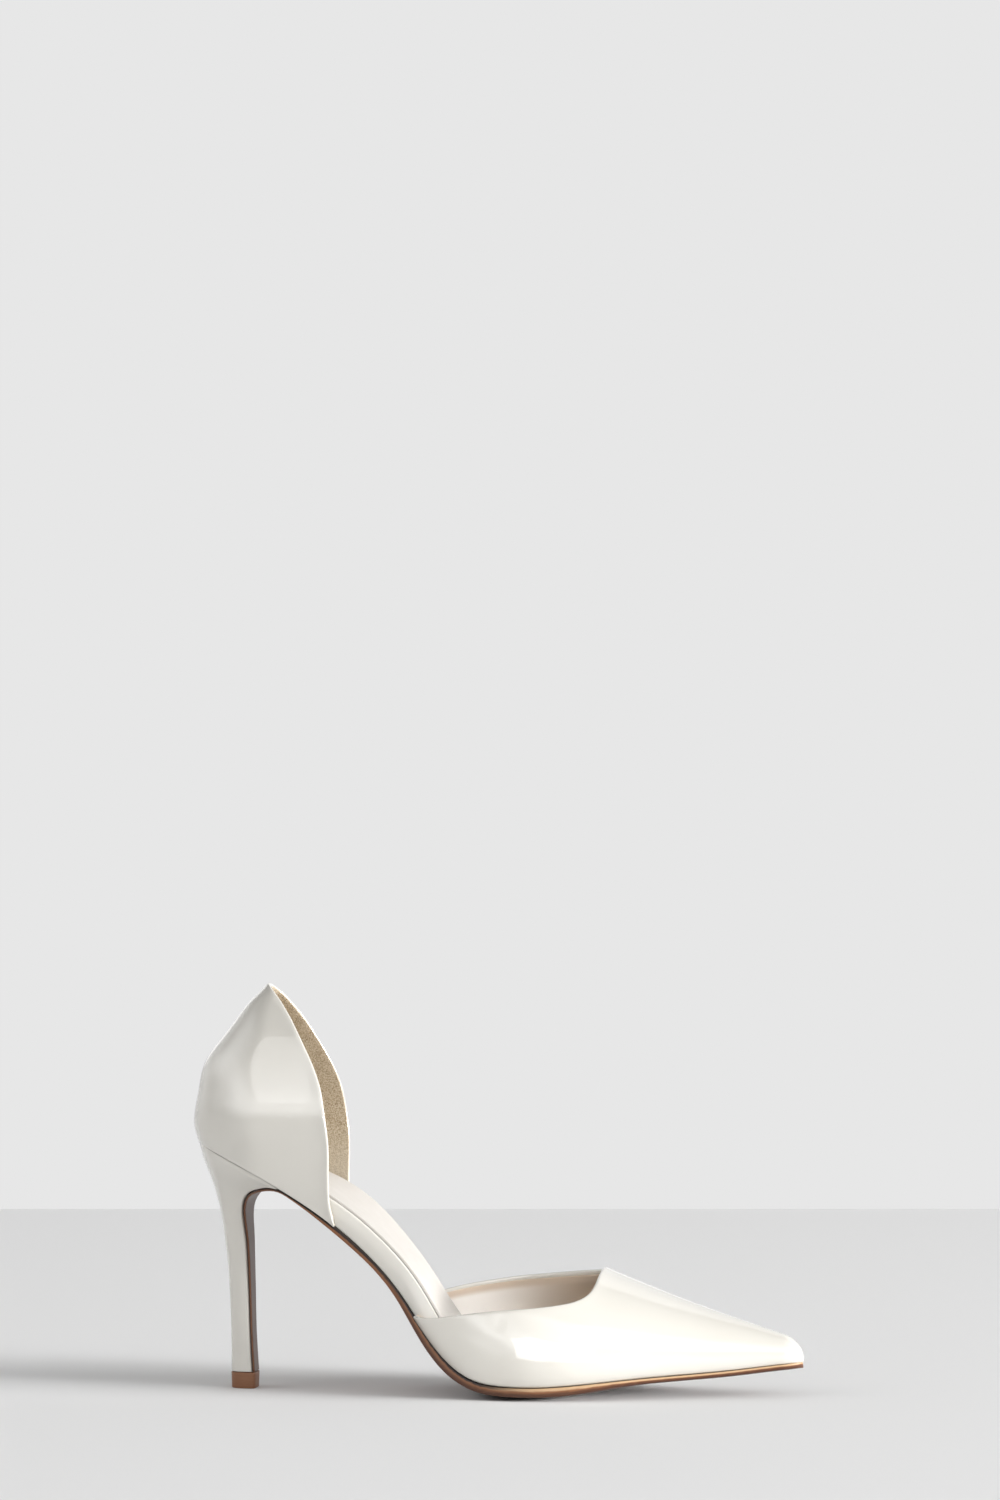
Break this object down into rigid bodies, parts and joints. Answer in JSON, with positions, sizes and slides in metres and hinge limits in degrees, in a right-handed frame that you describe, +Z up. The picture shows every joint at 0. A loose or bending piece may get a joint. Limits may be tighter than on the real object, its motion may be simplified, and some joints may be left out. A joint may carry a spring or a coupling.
{
  "type": "court shoe",
  "caption": "Right-foot court shoe with a pointed toe, cut-out sides that bare a padded insole, a high peaked heel counter and a slim stiletto heel.",
  "frame": {"origin": "on the floor, under the middle of the shoe's bounding box", "axes": "+X towards the toe, +Y towards the wearer's left, which is the medial side of this right shoe, +Z up"},
  "size_m": [0.2358, 0.081, 0.1561],
  "materials": {
    "patent": "glossy patent, ivory white",
    "sock": "matt, off-white",
    "sole": "satin, tan-brown",
    "top_piece": "matt, tan-brown"
  },
  "bodies": {
    "root": {"vamp": "patent", "counter": "patent", "insole": "patent", "heel": "patent", "sock_lining": "sock", "outsole": "sole", "top_piece": "top_piece"}
  },
  "joints": []
}
